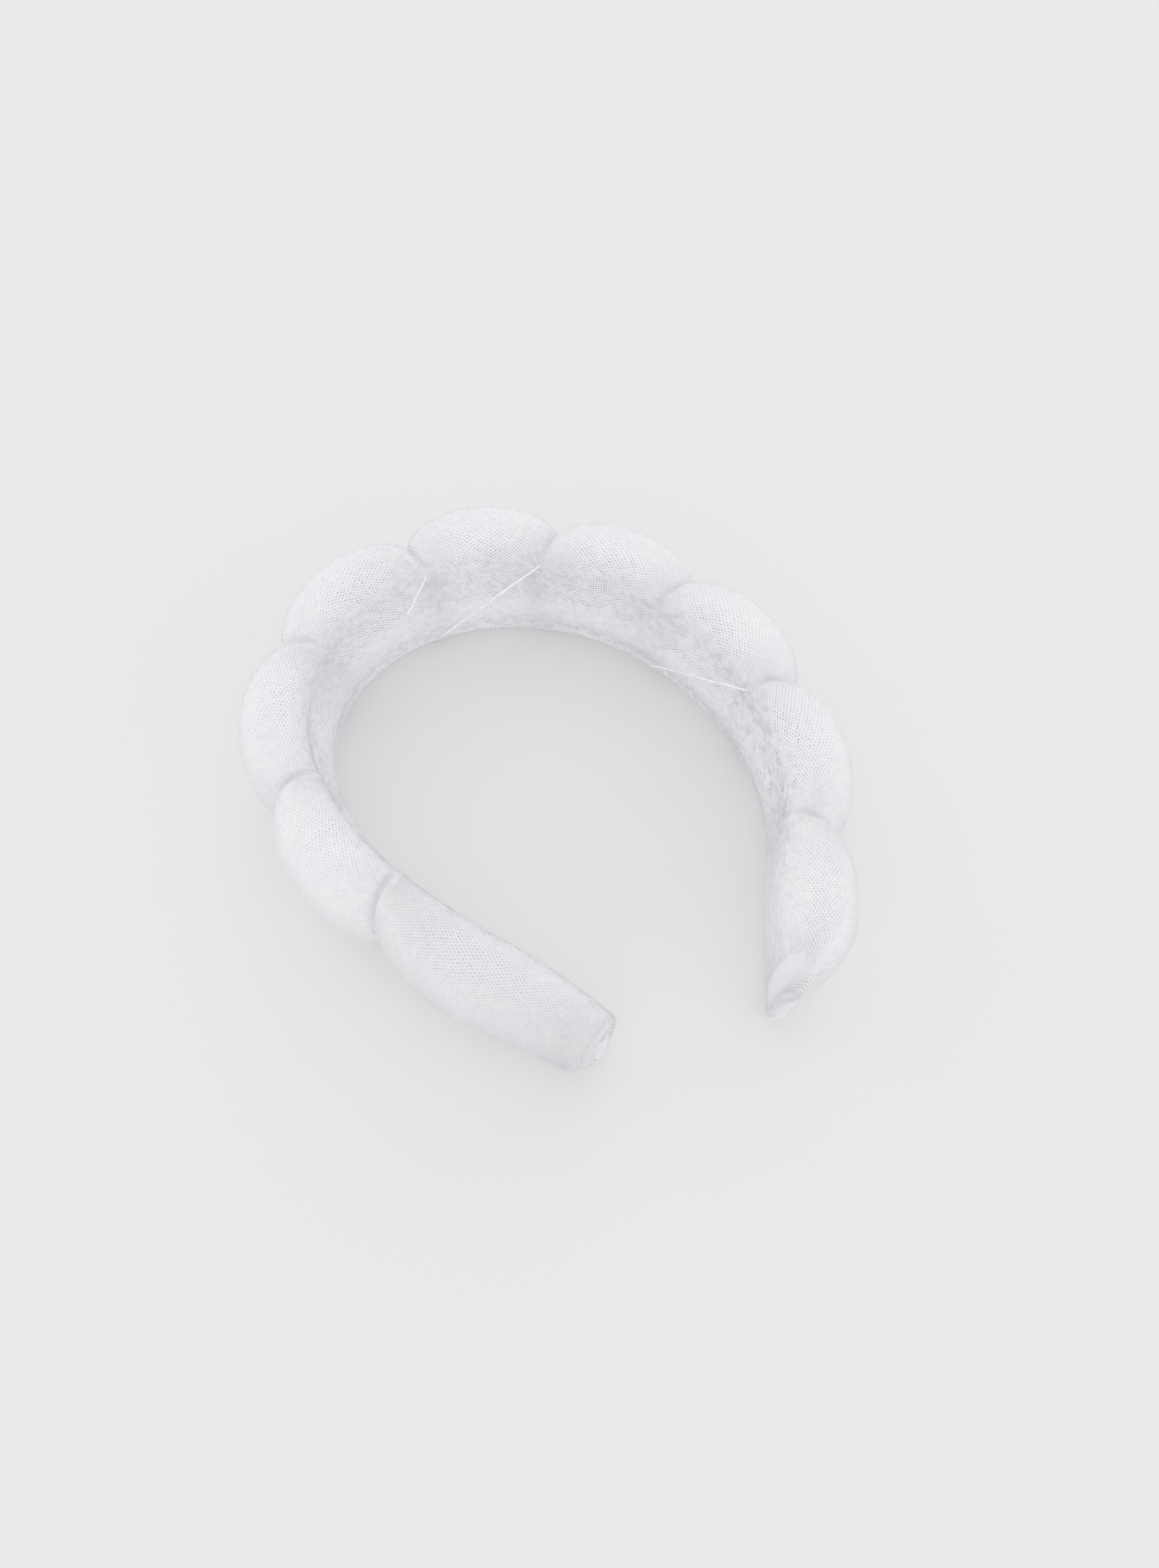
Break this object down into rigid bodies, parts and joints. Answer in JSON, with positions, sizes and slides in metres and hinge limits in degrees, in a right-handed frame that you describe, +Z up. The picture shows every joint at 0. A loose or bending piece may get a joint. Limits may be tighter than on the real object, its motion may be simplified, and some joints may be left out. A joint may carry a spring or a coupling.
{
  "type": "padded headband",
  "caption": "Padded terry headband on a springy hoop, pinched into plump lobes by a wound clear line, lying on its side with open ends.",
  "frame": {"origin": "centre of the band's footprint, on the surface that it lies on", "axes": "+Z up, along the depth of the band; +Y towards the crown; -Y towards the two tips; +X towards the shorter arm"},
  "size_m": [0.1488, 0.1582, 0.0445],
  "materials": {
    "terry": "matt, looped knit",
    "foam": "matt open-cell foam",
    "hoop_plastic": "satin",
    "nylon": "clear, glossy",
    "sewing_thread": "matt twisted thread"
  },
  "bodies": {
    "lobe_1": {"sleeve_lobe_1": "terry", "foam_lobe_1": "foam", "hoop_segment_1": "hoop_plastic", "binding_line_1": "nylon", "end_stitch_left": "sewing_thread"},
    "lobe_2": {"sleeve_lobe_2": "terry", "foam_lobe_2": "foam", "hoop_segment_2": "hoop_plastic", "binding_line_2": "nylon"},
    "lobe_3": {"sleeve_lobe_3": "terry", "foam_lobe_3": "foam", "hoop_segment_3": "hoop_plastic", "binding_line_3": "nylon"},
    "lobe_4": {"sleeve_lobe_4": "terry", "foam_lobe_4": "foam", "hoop_segment_4": "hoop_plastic", "binding_line_4": "nylon"},
    "lobe_5": {"sleeve_lobe_5": "terry", "foam_lobe_5": "foam", "hoop_segment_5": "hoop_plastic", "binding_line_5": "nylon"},
    "lobe_6": {"sleeve_lobe_6": "terry", "foam_lobe_6": "foam", "hoop_segment_6": "hoop_plastic", "binding_line_6": "nylon"},
    "lobe_7": {"sleeve_lobe_7": "terry", "foam_lobe_7": "foam", "hoop_segment_7": "hoop_plastic", "binding_line_7": "nylon"},
    "lobe_8": {"sleeve_lobe_8": "terry", "foam_lobe_8": "foam", "hoop_segment_8": "hoop_plastic", "binding_line_8": "nylon"},
    "lobe_9": {"sleeve_lobe_9": "terry", "foam_lobe_9": "foam", "hoop_segment_9": "hoop_plastic", "end_stitch_right": "sewing_thread"}
  },
  "joints": [
    {"name": "pinch_1_flex", "type": "hinge", "parent": "lobe_2", "child": "lobe_1", "pos_m": [-0.0455, -0.0199, 0.0215], "axis": [0, 0, -1], "range_deg": [-1.2, 2.4]},
    {"name": "pinch_2_flex", "type": "hinge", "parent": "lobe_3", "child": "lobe_2", "pos_m": [-0.0567, 0.0135, 0.0215], "axis": [0, 0, -1], "range_deg": [-1.95, 3.9]},
    {"name": "pinch_3_flex", "type": "hinge", "parent": "lobe_4", "child": "lobe_3", "pos_m": [-0.0459, 0.0477, 0.0215], "axis": [0, 0, -1], "range_deg": [-2.7, 5.4]},
    {"name": "pinch_4_flex", "type": "hinge", "parent": "lobe_5", "child": "lobe_4", "pos_m": [-0.0131, 0.0623, 0.0215], "axis": [0, 0, -1], "range_deg": [-3, 6], "stiffness_Nm_per_rad": 7},
    {"name": "pinch_5_flex", "type": "hinge", "parent": "lobe_5", "child": "lobe_6", "pos_m": [0.0211, 0.0528, 0.0215], "axis": [0, 0, 1], "range_deg": [-2.85, 5.7]},
    {"name": "pinch_6_flex", "type": "hinge", "parent": "lobe_6", "child": "lobe_7", "pos_m": [0.0459, 0.0276, 0.0215], "axis": [0, 0, 1], "range_deg": [-2.25, 4.5]},
    {"name": "pinch_7_flex", "type": "hinge", "parent": "lobe_7", "child": "lobe_8", "pos_m": [0.0565, -0.006, 0.0215], "axis": [0, 0, 1], "range_deg": [-1.5, 3]},
    {"name": "pinch_8_flex", "type": "hinge", "parent": "lobe_8", "child": "lobe_9", "pos_m": [0.0491, -0.0408, 0.0215], "axis": [0, 0, 1], "range_deg": [-0.9, 1.8]}
  ],
  "couplings": [
    {"joint": "pinch_1_flex", "follows": "pinch_4_flex", "ratio": 0.4},
    {"joint": "pinch_2_flex", "follows": "pinch_4_flex", "ratio": 0.65},
    {"joint": "pinch_3_flex", "follows": "pinch_4_flex", "ratio": 0.9},
    {"joint": "pinch_5_flex", "follows": "pinch_4_flex", "ratio": 0.95},
    {"joint": "pinch_6_flex", "follows": "pinch_4_flex", "ratio": 0.75},
    {"joint": "pinch_7_flex", "follows": "pinch_4_flex", "ratio": 0.5},
    {"joint": "pinch_8_flex", "follows": "pinch_4_flex", "ratio": 0.3}
  ]
}
